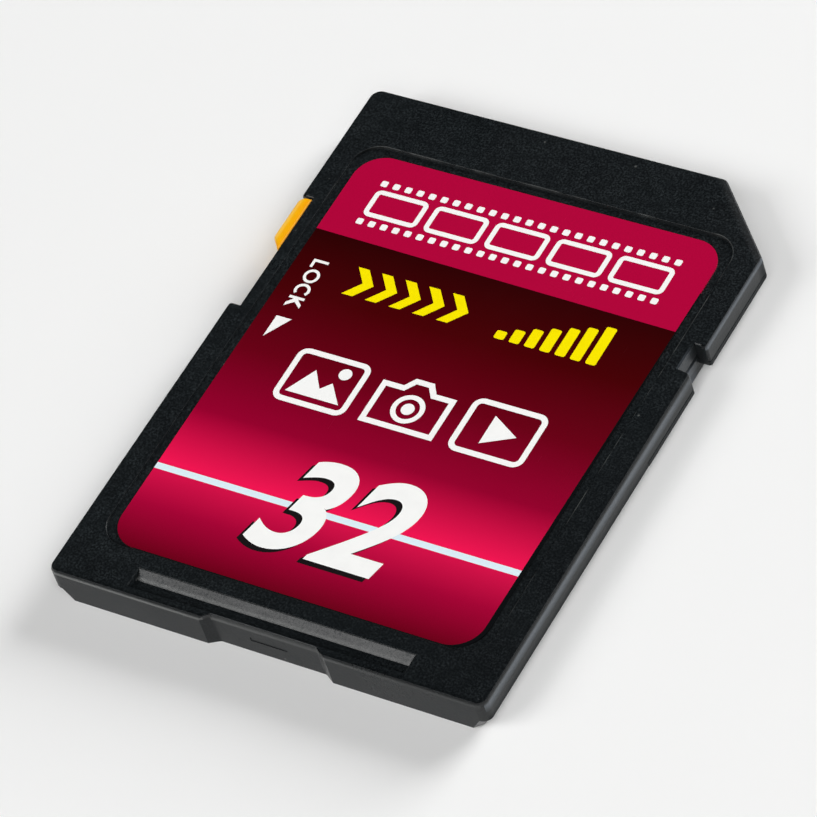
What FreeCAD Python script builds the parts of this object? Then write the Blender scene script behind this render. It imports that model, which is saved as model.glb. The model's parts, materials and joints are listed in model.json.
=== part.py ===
# Full-size memory card: two moulded covers round a circuit board, with a sliding write-protect lock.
# Millimetres. X to the right, Y towards the contact end, Z up through the labelled face.
# The origin is at the middle of the back face.
import FreeCAD, Part
import os
import re
import Sketcher

SIZES = [
    # whole card
    ("card_length", 32.0),
    ("card_width", 24.0),
    ("card_thickness", 2.1),
    ("corner_cut", 4.0),
    ("near_corner_radius", 0.5),
    ("contact_corner_radius", 0.6),
    ("cut_corner_radius", 0.4),
    ("foot_corner_cut", 0.4),
    ("foot_top_inset", 0.1),
    ("foot_low_inset", 0.6),
    ("edge_round", 0.3),
    ("back_edge_round", 0.12),
    # side rails, and the seam between the covers
    ("rail_thickness", 1.4),
    ("rail_step", 0.75),
    ("rail_edge_round", 0.06),
    ("strip_length", 16.25),
    ("strip_height", 0.3),
    ("seam_reveal", 0.06),
    ("seam_depth", 0.15),
    ("toe_step", 0.4),
    ("fit_gap", 0.03),
    # walls
    ("side_wall", 1.15),
    ("end_wall", 0.75),
    ("near_wall", 0.8),
    ("top_wall", 0.26),
    ("rear_wall", 0.35),
    ("tray_wall", 0.85),
    ("ledge_width", 0.6),
    ("lip_chamfer", 0.25),
    # label and its recess
    ("recess_side", 1.36),
    ("recess_contact_end", 3.4),
    ("recess_near_end", 2.4),
    ("recess_depth", 0.14),
    ("recess_radius", 1.4),
    ("recess_rim_round", 0.02),
    ("label_side_gap", 0.49),
    ("label_contact_gap", 0.53),
    ("label_near_gap", 0.12),
    ("label_thickness", 0.08),
    ("label_radius", 1.55),
    # finger groove, finger recess and moulding gate at the near end
    ("groove_length", 15.2),
    ("groove_width", 1.1),
    ("groove_margin", 0.02),
    ("groove_depth", 0.35),
    ("groove_far_slope", 0.45),
    ("groove_near_slope", 0.08),
    ("groove_end_slope", 0.06),
    ("groove_lip", 0.06),
    ("groove_lip_depth", 0.025),
    ("finger_width", 6.9),
    ("finger_margin", 0.02),
    ("finger_slope", 0.55),
    ("finger_radius", 0.3),
    ("finger_edge_round", 0.06),
    ("gate_width", 2.0),
    ("gate_height", 0.25),
    ("gate_depth", 0.03),
    ("gate_level", 1.0),
    # notches in the rails
    ("lock_notch_start", 7.5),
    ("lock_notch_length", 7.2),
    ("lock_notch_depth", 0.75),
    ("latch_start", 9.85),
    ("latch_length", 1.7),
    ("latch_depth", 0.65),
    ("latch_slope", 0.12),
    ("notch_round", 0.12),
    # lock slider
    ("slide_gap", 0.05),
    ("slider_end_gap", 0.05),
    ("slider_inset", 0.03),
    ("knob_length", 3.5),
    ("knob_nose", 0.75),
    ("knob_drop", 0.04),
    ("knob_corner_radius", 0.4),
    ("knob_edge_round", 0.12),
    ("neck_length", 2.0),
    ("slot_height", 0.45),
    ("flange_length", 2.8),
    ("flange_thickness", 0.4),
    ("flange_lip", 0.15),
    # circuit board and contact pads
    ("board_length", 26.5),
    ("board_thickness", 0.4),
    ("board_gap", 0.08),
    ("contact_thickness", 0.04),
    ("contact_one_inset", 5.4),
    ("contact_pitch", 2.5),
    ("contact_seven_pitch", 2.4),
    ("contact_eight_pitch", 1.7),
    ("contact_width", 1.5),
    ("narrow_contact_width", 1.1),
    ("contact_length", 4.2),
    ("contact_setback", 1.2),
    ("contact_nine_setback", 3.9),
    ("contact_radius", 0.15),
    ("window_side_gap", 0.2),
    ("window_near_gap", 0.5),
    ("window_radius", 0.2),
    # chips
    ("flash_length", 18.0),
    ("flash_width", 12.0),
    ("flash_height", 0.5),
    ("flash_near_gap", 1.2),
    ("controller_side", 5.4),
    ("controller_height", 0.45),
    ("controller_gap", 0.7),
    ("controller_left", 6.6),
    ("pin_mark_diameter", 0.7),
    ("pin_mark_depth", 0.04),
    ("pin_mark_inset", 0.9),
    # chip capacitors and resistors
    ("passive_length", 1.0),
    ("passive_width", 0.5),
    ("passive_pitch", 1.2),
    ("passive_gap", 1.0),
    ("capacitor_height", 0.45),
    ("resistor_height", 0.32),
    ("terminal_length", 0.25),
    ("terminal_skin", 0.02),
]

CAPACITORS = 5
RESISTORS = 6
ROW_CONTACTS = 6

doc = FreeCAD.newDocument("memory_card")
sheet = doc.addObject("Spreadsheet::Sheet", "Sizes")
for row, (alias, size) in enumerate(SIZES, start=1):
    sheet.set(f"A{row}", alias)
    sheet.set(f"B{row}", str(size))
    sheet.setAlias(f"B{row}", alias)
doc.recompute()
ALIASES = re.compile(r"\b(" + "|".join(alias for alias, size in SIZES) + r")\b")

# Heights, worked out from the sheet
BACK = "0"
TOP = "card_thickness"
RAIL_Z = "(card_thickness - rail_thickness)"
SEAM_Z = f"({RAIL_Z} + strip_height)"
BOARD_TOP = f"({RAIL_Z} + board_thickness)"
RECESS_Z = "(card_thickness - recess_depth)"
CEILING = f"({RECESS_Z} - top_wall)"

# Places in plan, worked out from the sheet
SIDE = "(card_width / 2)"
END = "(card_length / 2)"
BODY_X = f"({SIDE} - rail_step)"
WALL_X = f"({SIDE} - side_wall)"
BOARD_X = f"({WALL_X} - board_gap)"
STRIP_Y = f"({END} - strip_length)"
WALL_Y = f"({END} - end_wall)"
BOARD_END = f"({WALL_Y} - board_gap)"
BOARD_NEAR = f"({BOARD_END} - board_length)"
FOOT_Y = f"(near_wall - {END})"
CUT_SUM = f"({SIDE} + {END} - corner_cut)"
WALL_SUM = f"({CUT_SUM} - side_wall * sqrt(2))"
LEDGE_SUM = f"({WALL_SUM} - ledge_width * sqrt(2))"
BOARD_SUM = f"({WALL_SUM} - board_gap * sqrt(2))"
TOE_SUM = f"({CUT_SUM} - toe_step * sqrt(2))"
TOE_Y = f"({END} - toe_step)"
NOTCH_TOP = f"({END} - lock_notch_start)"
NOTCH_LOW = f"({NOTCH_TOP} - lock_notch_length)"
NOTCH_X = f"({SIDE} - lock_notch_depth)"
LATCH_TOP = f"({END} - latch_start)"
LATCH_LOW = f"({LATCH_TOP} - latch_length)"
LATCH_X = f"({SIDE} - latch_depth)"
FINGER_DEPTH = "(edge_round + finger_margin)"
GROOVE_EDGE = f"({FINGER_DEPTH} + finger_edge_round + groove_margin)"

# Lock slider at rest, at the contact end of its notch, and its travel towards the near end
KNOB_TOP = f"({NOTCH_TOP} - slider_end_gap)"
KNOB_LOW = f"({KNOB_TOP} - knob_length)"
KNOB_MIDDLE = f"({KNOB_TOP} - knob_length / 2)"
TRAVEL = "(lock_notch_length - knob_length - 2 * slider_end_gap)"
FLANGE_OUT = f"({WALL_X} - slide_gap)"
FLANGE_IN = f"({FLANGE_OUT} - flange_thickness)"
FLANGE_TOP = f"({KNOB_MIDDLE} + flange_length / 2)"
FLANGE_LOW = f"({KNOB_MIDDLE} - flange_length / 2)"
FLANGE_LIP_Z = f"({SEAM_Z} + slot_height + flange_lip)"
POCKET_X = f"({FLANGE_IN} - slide_gap)"
POCKET_TOP = f"({FLANGE_TOP} + slider_end_gap)"
POCKET_LOW = f"({FLANGE_LOW} - {TRAVEL} - slider_end_gap)"


def number(text):
    return float(sheet.evalExpression(text))


def tie(thing, name, text):
    thing.setExpression(name, ALIASES.sub(r"Sizes.\1", text))


def new_body(label):
    body = doc.addObject("PartDesign::Body", label)
    body.Label = label
    return body


def new_sketch(body, name, level):
    sketch = body.newObject("Sketcher::SketchObject", name)
    plane = next(item for item in body.Origin.OriginFeatures if item.Role == "XY_Plane")
    sketch.AttachmentSupport = (plane, [""])
    sketch.MapMode = "FlatFace"
    tie(sketch, "AttachmentOffset.Base.z", level)
    return sketch


# A closed outline of straight lines, with every corner held by two dimensions from the origin.
def add_outline(sketch, corners):
    first = sketch.GeometryCount
    count = len(corners)
    points = [FreeCAD.Vector(number(x), number(y), 0) for x, y in corners]
    for index, point in enumerate(points):
        sketch.addGeometry(Part.LineSegment(point, points[(index + 1) % count]), False)
    for index in range(count):
        after = first + (index + 1) % count
        sketch.addConstraint(Sketcher.Constraint("Coincident", first + index, 2, after, 1))
    for index, (x, y) in enumerate(corners):
        for kind, text, value in (("DistanceX", x, points[index].x), ("DistanceY", y, points[index].y)):
            number_of = sketch.addConstraint(Sketcher.Constraint(kind, -1, 1, first + index, 1, value))
            tie(sketch, f"Constraints[{number_of}]", text)


def add_circle(sketch, x, y, diameter):
    middle = FreeCAD.Vector(number(x), number(y), 0)
    radius = number(diameter) / 2
    circle = sketch.addGeometry(Part.Circle(middle, FreeCAD.Vector(0, 0, 1), radius), False)
    for kind, text, value in (("DistanceX", x, middle.x), ("DistanceY", y, middle.y)):
        number_of = sketch.addConstraint(Sketcher.Constraint(kind, -1, 1, circle, 3, value))
        tie(sketch, f"Constraints[{number_of}]", text)
    number_of = sketch.addConstraint(Sketcher.Constraint("Diameter", circle, radius * 2))
    tie(sketch, f"Constraints[{number_of}]", diameter)


def rectangle(x_low, x_high, y_low, y_high):
    return [(x_low, y_low), (x_high, y_low), (x_high, y_high), (x_low, y_high)]


# Material added upwards from one level to another.
def pad(body, name, low, high, *outlines):
    sketch = new_sketch(body, name + "_sketch", low)
    for corners in outlines:
        add_outline(sketch, corners)
    feature = body.newObject("PartDesign::Pad", name)
    feature.Profile = sketch
    tie(feature, "Length", f"{high} - {low}")
    doc.recompute()
    return feature


# Material cut upwards from one level to another; the volume has to fall.
def pocket(body, name, low, high, *outlines):
    before = body.Tip.Shape.Volume
    sketch = new_sketch(body, name + "_sketch", low)
    for corners in outlines:
        add_outline(sketch, corners)
    return cut_upwards(body, name, sketch, f"{high} - {low}", before)


def cut_upwards(body, name, sketch, depth, before):
    feature = body.newObject("PartDesign::Pocket", name)
    feature.Profile = sketch
    feature.Reversed = True
    tie(feature, "Length", depth)
    doc.recompute()
    if not feature.Shape.Volume < before:
        raise RuntimeError(f"{body.Label}: {name} cuts nothing")
    return feature


def dress(body, kind, name, edges, measure, text):
    base = body.Tip
    feature = body.newObject("PartDesign::" + kind, name)
    feature.Base = (base, edges)
    tie(feature, measure, text)
    doc.recompute()
    if not edges or feature.Shape.isNull():
        raise RuntimeError(f"{body.Label}: {name} failed on {len(edges)} edges")
    return feature


def round_edges(body, name, edges, radius):
    return dress(body, "Fillet", name, edges, "Radius", radius)


# Names of the upright edges that stand at the given places in plan.
def upright_edges(feature, places):
    spots = [(number(x), number(y)) for x, y in places]
    names = []
    for index, edge in enumerate(feature.Shape.Edges, start=1):
        low, high = edge.Vertexes[0].Point, edge.Vertexes[-1].Point
        if abs(low.z - high.z) < 1e-6 or abs(low.x - high.x) + abs(low.y - high.y) > 1e-6:
            continue
        if any(abs(low.x - x) + abs(low.y - y) < 1e-4 for x, y in spots):
            names.append(f"Edge{index}")
    return names


# Names of the edges round the largest level face at a height.
def rim_edges(feature, level):
    height = number(level)
    faces = [face for face in feature.Shape.Faces
             if face.BoundBox.ZLength < 1e-6 and abs(face.BoundBox.ZMax - height) < 1e-6]
    rim = max(faces, key=lambda face: face.Area).OuterWire.Edges
    return [f"Edge{index}" for index, edge in enumerate(feature.Shape.Edges, start=1)
            if any(edge.isSame(other) for other in rim)]


# Names of the level edges at a height that lie inside the box round an outline.
def mouth_edges(feature, level, outline):
    height = number(level)
    across, along = zip(*[(number(x), number(y)) for x, y in outline])
    slack = 1e-4
    names = []
    for index, edge in enumerate(feature.Shape.Edges, start=1):
        box = edge.BoundBox
        if box.ZLength > 1e-6 or abs(box.ZMin - height) > 1e-6:
            continue
        inside_x = min(across) - slack < box.XMin and box.XMax < max(across) + slack
        inside_y = min(along) - slack < box.YMin and box.YMax < max(along) + slack
        if inside_x and inside_y:
            names.append(f"Edge{index}")
    return names


# Names of the level edges that lie along a line of constant y at a height.
def cross_edges(feature, y, level):
    place, height = number(y), number(level)
    names = []
    for index, edge in enumerate(feature.Shape.Edges, start=1):
        box = edge.BoundBox
        if box.YLength > 1e-6 or box.ZLength > 1e-6 or box.XLength < 1e-6:
            continue
        if abs(box.YMin - place) < 1e-6 and abs(box.ZMin - height) < 1e-6:
            names.append(f"Edge{index}")
    return names


# Corner places with the cut corner: the sum is x + y along the slanted side.
def cut_outline(x_left, x_right, y_low, y_high, cut_sum):
    return [(f"-{x_left}", y_low), (x_right, y_low), (x_right, f"{cut_sum} - {x_right}"),
            (f"{cut_sum} - {y_high}", y_high), (f"-{x_left}", y_high)]


def make_front_cover():
    body = new_body("front_cover")
    pad(body, "plate", SEAM_Z, TOP, cut_outline(SIDE, SIDE, f"-{END}", END, CUT_SUM))
    pad(body, "grip_rails", RAIL_Z, SEAM_Z, rectangle(f"-{SIDE}", SIDE, f"-{END}", STRIP_Y))
    tip = round_edges(body, "near_corners", upright_edges(body.Tip, [
        (SIDE, f"-{END}"), (f"-{SIDE}", f"-{END}")]), "near_corner_radius")
    tip = round_edges(body, "contact_corner", upright_edges(tip, [(f"-{SIDE}", END)]), "contact_corner_radius")
    tip = round_edges(body, "cut_corners", upright_edges(tip, cut_corner_places()), "cut_corner_radius")
    tip = round_edges(body, "top_edge", rim_edges(tip, TOP), "edge_round")
    step = cross_edges(tip, STRIP_Y, RAIL_Z)
    round_edges(body, "rail_edges", [name for name in rim_edges(tip, RAIL_Z) if name not in step],
                "rail_edge_round")

    # foot of the near wall, and the lip that closes the contact end
    foot = new_sketch(body, "foot_outline", BACK)
    add_outline(foot, foot_outline(f"({SIDE} - foot_low_inset)"))
    foot_top = new_sketch(body, "foot_top_outline", f"({RAIL_Z} + rail_edge_round)")
    add_outline(foot_top, foot_outline(f"({SIDE} - foot_top_inset)"))
    near_foot = body.newObject("PartDesign::AdditiveLoft", "near_foot")
    near_foot.Profile = foot
    near_foot.Sections = [foot_top]
    near_foot.Ruled = True
    doc.recompute()
    lip_left = f"fit_gap - {WALL_X}"
    lip_sum = f"({WALL_SUM} - fit_gap * sqrt(2))"
    tip = pad(body, "end_lip", RAIL_Z, SEAM_Z, [(lip_left, WALL_Y), (f"{lip_sum} - {WALL_Y}", WALL_Y),
                                               (f"{lip_sum} - {END}", END), (lip_left, END)])
    dress(body, "Chamfer", "lead_in", cross_edges(tip, END, RAIL_Z), "Size", "lip_chamfer")

    # finger recess in the near edge, and the notches in the two rails
    beyond = f"-({END} + {FINGER_DEPTH})"
    finger_back = f"{FINGER_DEPTH} - {END}"
    finger_inner = "(finger_width / 2 - finger_slope)"
    finger = [("-finger_width / 2", beyond), ("finger_width / 2", beyond), ("finger_width / 2", f"-{END}"),
              (finger_inner, finger_back), (f"-{finger_inner}", finger_back), ("-finger_width / 2", f"-{END}")]
    pocket(body, "finger_recess", BACK, TOP, finger)
    pocket(body, "lock_notch", SEAM_Z, TOP, lock_notch_outline())
    pocket(body, "latch_notch", SEAM_Z, TOP, latch_outline())

    tip = round_edges(body, "notch_corners", upright_edges(body.Tip, notch_corner_places()), "notch_round")
    tip = round_edges(body, "finger_corners", upright_edges(tip, finger[3:5]), "finger_radius")
    round_edges(body, "finger_edge", mouth_edges(tip, TOP, finger), "finger_edge_round")

    # space for the board, with a ledge that holds its edges down, and space for the chips above it
    board_space = cut_outline(WALL_X, WALL_X, f"{BOARD_NEAR} - board_gap", WALL_Y, WALL_SUM)
    pocket(body, "board_space", RAIL_Z, BOARD_TOP, board_space)
    chip_x = f"({WALL_X} - ledge_width)"
    pocket(body, "chip_space", BOARD_TOP, CEILING,
           cut_outline(chip_x, chip_x, f"{BOARD_NEAR} + ledge_width", f"({WALL_Y} - ledge_width)", LEDGE_SUM))

    # slot for the slider's neck, open at the seam, and a pocket for the flange behind it
    slot_low = f"{KNOB_MIDDLE} - neck_length / 2 - {TRAVEL} - slider_end_gap"
    slot_high = f"{KNOB_MIDDLE} + neck_length / 2 + slider_end_gap"
    pocket(body, "neck_slot", SEAM_Z, f"({SEAM_Z} + slot_height)",
           rectangle(f"-{NOTCH_X}", f"-{WALL_X}", slot_low, slot_high))
    pocket(body, "flange_pocket", SEAM_Z, f"({FLANGE_LIP_Z} + slide_gap)",
           rectangle(f"-{WALL_X}", f"-{POCKET_X}", POCKET_LOW, POCKET_TOP))

    # label recess
    recess_x = f"({SIDE} - recess_side)"
    recess_low = f"recess_near_end - {END}"
    recess_high = f"{END} - recess_contact_end"
    recess = rectangle(f"-{recess_x}", recess_x, recess_low, recess_high)
    tip = pocket(body, "label_recess", RECESS_Z, TOP, recess)
    tip = round_edges(body, "recess_corners", upright_edges(tip, recess), "recess_radius")
    round_edges(body, "recess_rim", mouth_edges(tip, TOP, recess), "recess_rim_round")

    cut_finger_groove(body)

    # moulding gate in the finger recess
    gate_low = "(gate_level - gate_height / 2)"
    pocket(body, "gate_mark", gate_low, f"({gate_low} + gate_height)",
           rectangle("-gate_width / 2", "gate_width / 2", beyond, f"{finger_back} + gate_depth"))
    return body


# Foot of the near wall: narrower at the back face than under the rails, with cut corners.
def foot_outline(half):
    cut_x, cut_y = f"({half} - foot_corner_cut)", f"(foot_corner_cut - {END})"
    return [(f"-{half}", FOOT_Y), (f"-{half}", cut_y), (f"-{cut_x}", f"-{END}"),
            (cut_x, f"-{END}"), (half, cut_y), (half, FOOT_Y)]


# Finger groove: a gentle slope on the card's side, a steep wall at the near end, drafted ends,
# and a shallow bevel along the slope and the ends.
def cut_finger_groove(body):
    before = body.Tip.Shape.Volume
    near_y = f"({GROOVE_EDGE} - {END})"
    far_y = f"({near_y} + groove_width)"
    floor_x = "(groove_length / 2 - groove_end_slope)"
    mouth = new_sketch(body, "groove_mouth", TOP)
    lip_x = "(groove_length / 2 + groove_lip)"
    add_outline(mouth, rectangle(f"-{lip_x}", lip_x, near_y, f"{far_y} + groove_lip"))
    lip = new_sketch(body, "groove_lip", f"{TOP} - groove_lip_depth")
    lip_near = f"{near_y} + groove_near_slope * groove_lip_depth / groove_depth"
    add_outline(lip, rectangle("-groove_length / 2", "groove_length / 2", lip_near, far_y))
    floor = new_sketch(body, "groove_floor", f"{TOP} - groove_depth")
    add_outline(floor, rectangle(f"-{floor_x}", floor_x,
                                 f"{near_y} + groove_near_slope", f"{far_y} - groove_far_slope"))
    groove = body.newObject("PartDesign::SubtractiveLoft", "finger_groove")
    groove.Profile = mouth
    groove.Sections = [lip, floor]
    groove.Ruled = True
    doc.recompute()
    if not groove.Shape.Volume < before:
        raise RuntimeError("front_cover: finger_groove cuts nothing")


def lock_notch_outline():
    return rectangle(f"-{SIDE} - lock_notch_depth", f"-{NOTCH_X}", NOTCH_LOW, NOTCH_TOP)


# Latch notch: square end towards the contacts, sloped end towards the grip.
def latch_outline():
    outside = f"{SIDE} + latch_depth"
    return [(LATCH_X, f"{LATCH_LOW} + latch_slope"), (SIDE, LATCH_LOW), (outside, LATCH_LOW),
            (outside, LATCH_TOP), (LATCH_X, LATCH_TOP)]


def cut_corner_places():
    return [(SIDE, f"{CUT_SUM} - {SIDE}"), (f"{CUT_SUM} - {END}", END)]


def notch_corner_places():
    return [(f"-{SIDE}", NOTCH_TOP), (f"-{SIDE}", NOTCH_LOW), (SIDE, LATCH_TOP), (SIDE, LATCH_LOW)]


# The strips of the rear cover that show under the seam on both rails, set in from the outside by an inset
# and kept back from the rounded corner by a clearance.
def strip_outlines(inset, corner_gap):
    side = f"({SIDE} - {inset})"
    end = f"({END} - {inset})"
    low = f"({STRIP_Y} + fit_gap)"
    cut_sum = f"({CUT_SUM} - {inset} * sqrt(2))"
    left = rectangle(f"-{side}", f"-{WALL_X}", low, f"{END} - {corner_gap}")
    right = [(WALL_X, low), (side, low), (side, f"{cut_sum} - {side}"), (f"{cut_sum} - {end}", end),
             (f"{WALL_SUM} - {end}", end), (WALL_X, f"{WALL_SUM} - {WALL_X}")]
    return left, right


# Contact pads: number, middle x, width and the y of the end towards the contact end.
def contact_table():
    one_x = f"({SIDE} - contact_one_inset)"
    row_end = f"({END} - contact_setback)"
    table = [(9, f"({one_x} + contact_pitch)", "contact_width", f"({END} - contact_nine_setback)")]
    for index in range(ROW_CONTACTS):
        table.append((index + 1, f"({one_x} - {index} * contact_pitch)", "contact_width", row_end))
    seven_x = f"({one_x} - {ROW_CONTACTS - 1} * contact_pitch - contact_seven_pitch)"
    table.append((7, seven_x, "narrow_contact_width", row_end))
    table.append((8, f"({seven_x} - contact_eight_pitch)", "narrow_contact_width", row_end))
    return table


def make_rear_cover():
    body = new_body("rear_cover")
    near = f"({FOOT_Y} + fit_gap)"
    pad(body, "plate", BACK, RAIL_Z, cut_outline(BODY_X, BODY_X, near, TOE_Y, TOE_SUM))
    reveal_z = f"({SEAM_Z} - seam_reveal)"
    pad(body, "strips", RAIL_Z, reveal_z, *strip_outlines("0", "0"))
    pocket(body, "lock_notch", RAIL_Z, reveal_z, lock_notch_outline())
    pocket(body, "latch_notch", RAIL_Z, reveal_z, latch_outline())
    tip = round_edges(body, "contact_corner", upright_edges(body.Tip, [(f"-{SIDE}", END)]),
                      "contact_corner_radius")
    tip = round_edges(body, "cut_corners", upright_edges(tip, cut_corner_places()), "cut_corner_radius")
    round_edges(body, "notch_corners", upright_edges(tip, notch_corner_places()), "notch_round")

    # weld ridges on the strips, set in so that the seam shows as a fine groove
    pad(body, "weld_ridges", reveal_z, SEAM_Z, *strip_outlines("seam_depth", "contact_corner_radius"))
    pocket(body, "ridge_lock_gap", reveal_z, SEAM_Z, lock_notch_outline())
    tip = pocket(body, "ridge_latch_gap", reveal_z, SEAM_Z, latch_outline())
    round_edges(body, "back_edge", rim_edges(tip, BACK), "back_edge_round")

    # tray under the board, between the seats of its edges and the block with the contact windows
    contacts = {name: (x, width, end) for name, x, width, end in contact_table()}
    window_near = "(contact_length + window_near_gap)"
    tray_x = f"({BODY_X} - tray_wall)"
    tray_high = f"({END} - contact_nine_setback - {window_near} - tray_wall)"
    pocket(body, "tray", "rear_wall", RAIL_Z,
           rectangle(f"-{tray_x}", tray_x, f"{BOARD_NEAR} + tray_wall", tray_high))

    # windows, open at the contact end: six in a row, one set back by the cut corner, one for two pads
    def window(left, right, near_y):
        return rectangle(left, right, near_y, f"{END} + toe_step")

    def edge_x(name, sign):
        x, width, end = contacts[name]
        return f"{x} {sign} ({width} / 2 + window_side_gap)"

    row_near = f"({contacts[1][2]} - {window_near})"
    first = pocket(body, "window", BACK, RAIL_Z,
                   window(edge_x(1, "-"), edge_x(1, "+"), row_near))
    before = first.Shape.Volume
    row = body.newObject("PartDesign::LinearPattern", "window_row")
    row.Originals = [first]
    row.Direction = (first.Profile[0], ["H_Axis"])
    row.Reversed = True
    row.Occurrences = ROW_CONTACTS
    tie(row, "Length", f"{ROW_CONTACTS - 1} * contact_pitch")
    body.Tip = row
    doc.recompute()
    if not row.Shape.Volume < before:
        raise RuntimeError("rear_cover: window_row cuts nothing")
    tip = pocket(body, "end_windows", BACK, RAIL_Z,
                 window(edge_x(9, "-"), edge_x(9, "+"), f"{contacts[9][2]} - {window_near}"),
                 window(edge_x(8, "-"), edge_x(7, "+"), row_near))
    corners = [(edge_x(index + 1, sign), row_near) for index in range(ROW_CONTACTS) for sign in "-+"]
    corners += [(edge_x(9, sign), f"{contacts[9][2]} - {window_near}") for sign in "-+"]
    corners += [(edge_x(8, "-"), row_near), (edge_x(7, "+"), row_near)]
    round_edges(body, "window_corners", upright_edges(tip, corners), "window_radius")
    return body


# Lock slider: knob in the notch, neck through the slot, flange behind the wall.
def make_lock_slider():
    body = new_body("lock_slider")
    outer = f"-({SIDE} - slider_inset)"
    inner = f"-({NOTCH_X} + slide_gap)"
    nose = f"({KNOB_LOW} + knob_nose)"
    knob_low_z = f"({RAIL_Z} + slide_gap)"
    knob_top_z = f"({TOP} - knob_drop)"
    knob = pad(body, "knob", knob_low_z, knob_top_z,
               [(inner, KNOB_LOW), (inner, KNOB_TOP), (outer, KNOB_TOP), (outer, nose)])
    tip = round_edges(body, "knob_corners", upright_edges(knob, [(outer, KNOB_TOP), (outer, nose)]),
                      "knob_corner_radius")
    round_edges(body, "knob_top_edge", rim_edges(tip, knob_top_z), "knob_edge_round")
    pad(body, "neck", f"({SEAM_Z} + slide_gap)", f"({SEAM_Z} + slot_height - slide_gap)",
        rectangle(inner, f"-{FLANGE_OUT}", f"{KNOB_MIDDLE} - neck_length / 2", f"{KNOB_MIDDLE} + neck_length / 2"))
    pad(body, "flange", f"({SEAM_Z} - flange_lip)", FLANGE_LIP_Z,
        rectangle(f"-{FLANGE_OUT}", f"-{FLANGE_IN}", FLANGE_LOW, FLANGE_TOP))
    return body


def make_label():
    body = new_body("front_label")
    label_x = f"({SIDE} - recess_side - label_side_gap)"
    outline = rectangle(f"-{label_x}", label_x, f"recess_near_end + label_near_gap - {END}",
                        f"{END} - recess_contact_end - label_contact_gap")
    film = pad(body, "film", RECESS_Z, f"({RECESS_Z} + label_thickness)", outline)
    round_edges(body, "corners", upright_edges(film, outline), "label_radius")
    return body


# Circuit board, cut away at its left edge for the slider's flange.
def make_circuit_board():
    body = new_body("circuit_board")
    pad(body, "board", RAIL_Z, BOARD_TOP, cut_outline(BOARD_X, BOARD_X, BOARD_NEAR, BOARD_END, BOARD_SUM))
    pocket(body, "slider_cutout", RAIL_Z, BOARD_TOP,
           rectangle(f"-{WALL_X}", f"-({POCKET_X} - board_gap)", POCKET_LOW, POCKET_TOP))
    return body


def make_contact_pad(name, x, width, end):
    body = new_body(f"contact_pad_{name}")
    outline = rectangle(f"{x} - {width} / 2", f"{x} + {width} / 2", f"{end} - contact_length", end)
    plate = pad(body, "plate", f"({RAIL_Z} - contact_thickness)", RAIL_Z, outline)
    round_edges(body, "corners", upright_edges(plate, outline), "contact_radius")
    return body


# A moulded chip on the board, with a round mark sunk in one corner of its top.
def make_chip(label, left, right, low, high, height):
    body = new_body(label)
    top = f"({BOARD_TOP} + {height})"
    package = pad(body, "package", BOARD_TOP, top, rectangle(left, right, low, high))
    before = package.Shape.Volume
    mark = new_sketch(body, "mark_sketch", f"{top} - pin_mark_depth")
    add_circle(mark, f"{left} + pin_mark_inset", f"{high} - pin_mark_inset", "pin_mark_diameter")
    cut_upwards(body, "pin_mark", mark, "pin_mark_depth", before)
    return body


FLASH_LOW = f"({BOARD_NEAR} + flash_near_gap)"
FLASH_HIGH = f"({FLASH_LOW} + flash_length)"
CONTROLLER_LOW = f"({FLASH_HIGH} + controller_gap)"
CONTROLLER_HIGH = f"({CONTROLLER_LOW} + controller_side)"


# A chip capacitor or resistor: a block with two metal ends that stand a little proud of it.
def make_passive(label, index, low, height):
    body = new_body(label)
    middle = f"(controller_side - controller_left + passive_gap + {index} * passive_pitch)"
    high = f"({low} + passive_length)"
    left, right = f"{middle} - passive_width / 2", f"{middle} + passive_width / 2"
    top = f"({BOARD_TOP} + {height})"
    pad(body, "ends", BOARD_TOP, top,
        rectangle(left, right, low, f"{low} + terminal_length"),
        rectangle(left, right, f"{high} - terminal_length", high))
    pad(body, "block", f"({BOARD_TOP} + terminal_skin)", f"({top} - terminal_skin)",
        rectangle(f"{left} + terminal_skin", f"{right} - terminal_skin",
                  f"{low} + terminal_length / 2", f"{high} - terminal_length / 2"))
    return body


def make_chips():
    flash = make_chip("flash_memory_chip", "-flash_width / 2", "flash_width / 2", FLASH_LOW, FLASH_HIGH,
                      "flash_height")
    controller = make_chip("controller_chip", "-controller_left", "(controller_side - controller_left)",
                           CONTROLLER_LOW, CONTROLLER_HIGH, "controller_height")
    chips = [flash, controller]
    for index in range(CAPACITORS):
        chips.append(make_passive(f"capacitor_{index + 1}", index, CONTROLLER_LOW, "capacitor_height"))
    for index in range(RESISTORS):
        chips.append(make_passive(f"resistor_{index + 1}", index,
                                  f"({CONTROLLER_HIGH} - passive_length)", "resistor_height"))
    return chips


def check_and_write(bodies):
    doc.recompute()
    for item in doc.Objects:
        if "Invalid" in item.State or "Error" in item.State:
            raise RuntimeError(f"{item.Label} failed: {item.State}")
    for body in bodies:
        if body.Shape.isNull() or not body.Shape.isValid() or len(body.Shape.Solids) != 1:
            raise RuntimeError(f"{body.Label} isn't one valid solid")
    os.makedirs("parts", exist_ok=True)
    for body in bodies:
        body.Shape.exportStep(f"parts/{body.Label}.step")
        print(body.Label, round(body.Shape.Volume, 3))


pieces = [make_front_cover(), make_rear_cover(), make_lock_slider(), make_label(), make_circuit_board()]
pieces += [make_contact_pad(*contact) for contact in contact_table()]
pieces += make_chips()
check_and_write(pieces)
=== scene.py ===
import json
import math

import bmesh
import bpy
from mathutils import Matrix, Vector

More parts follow.
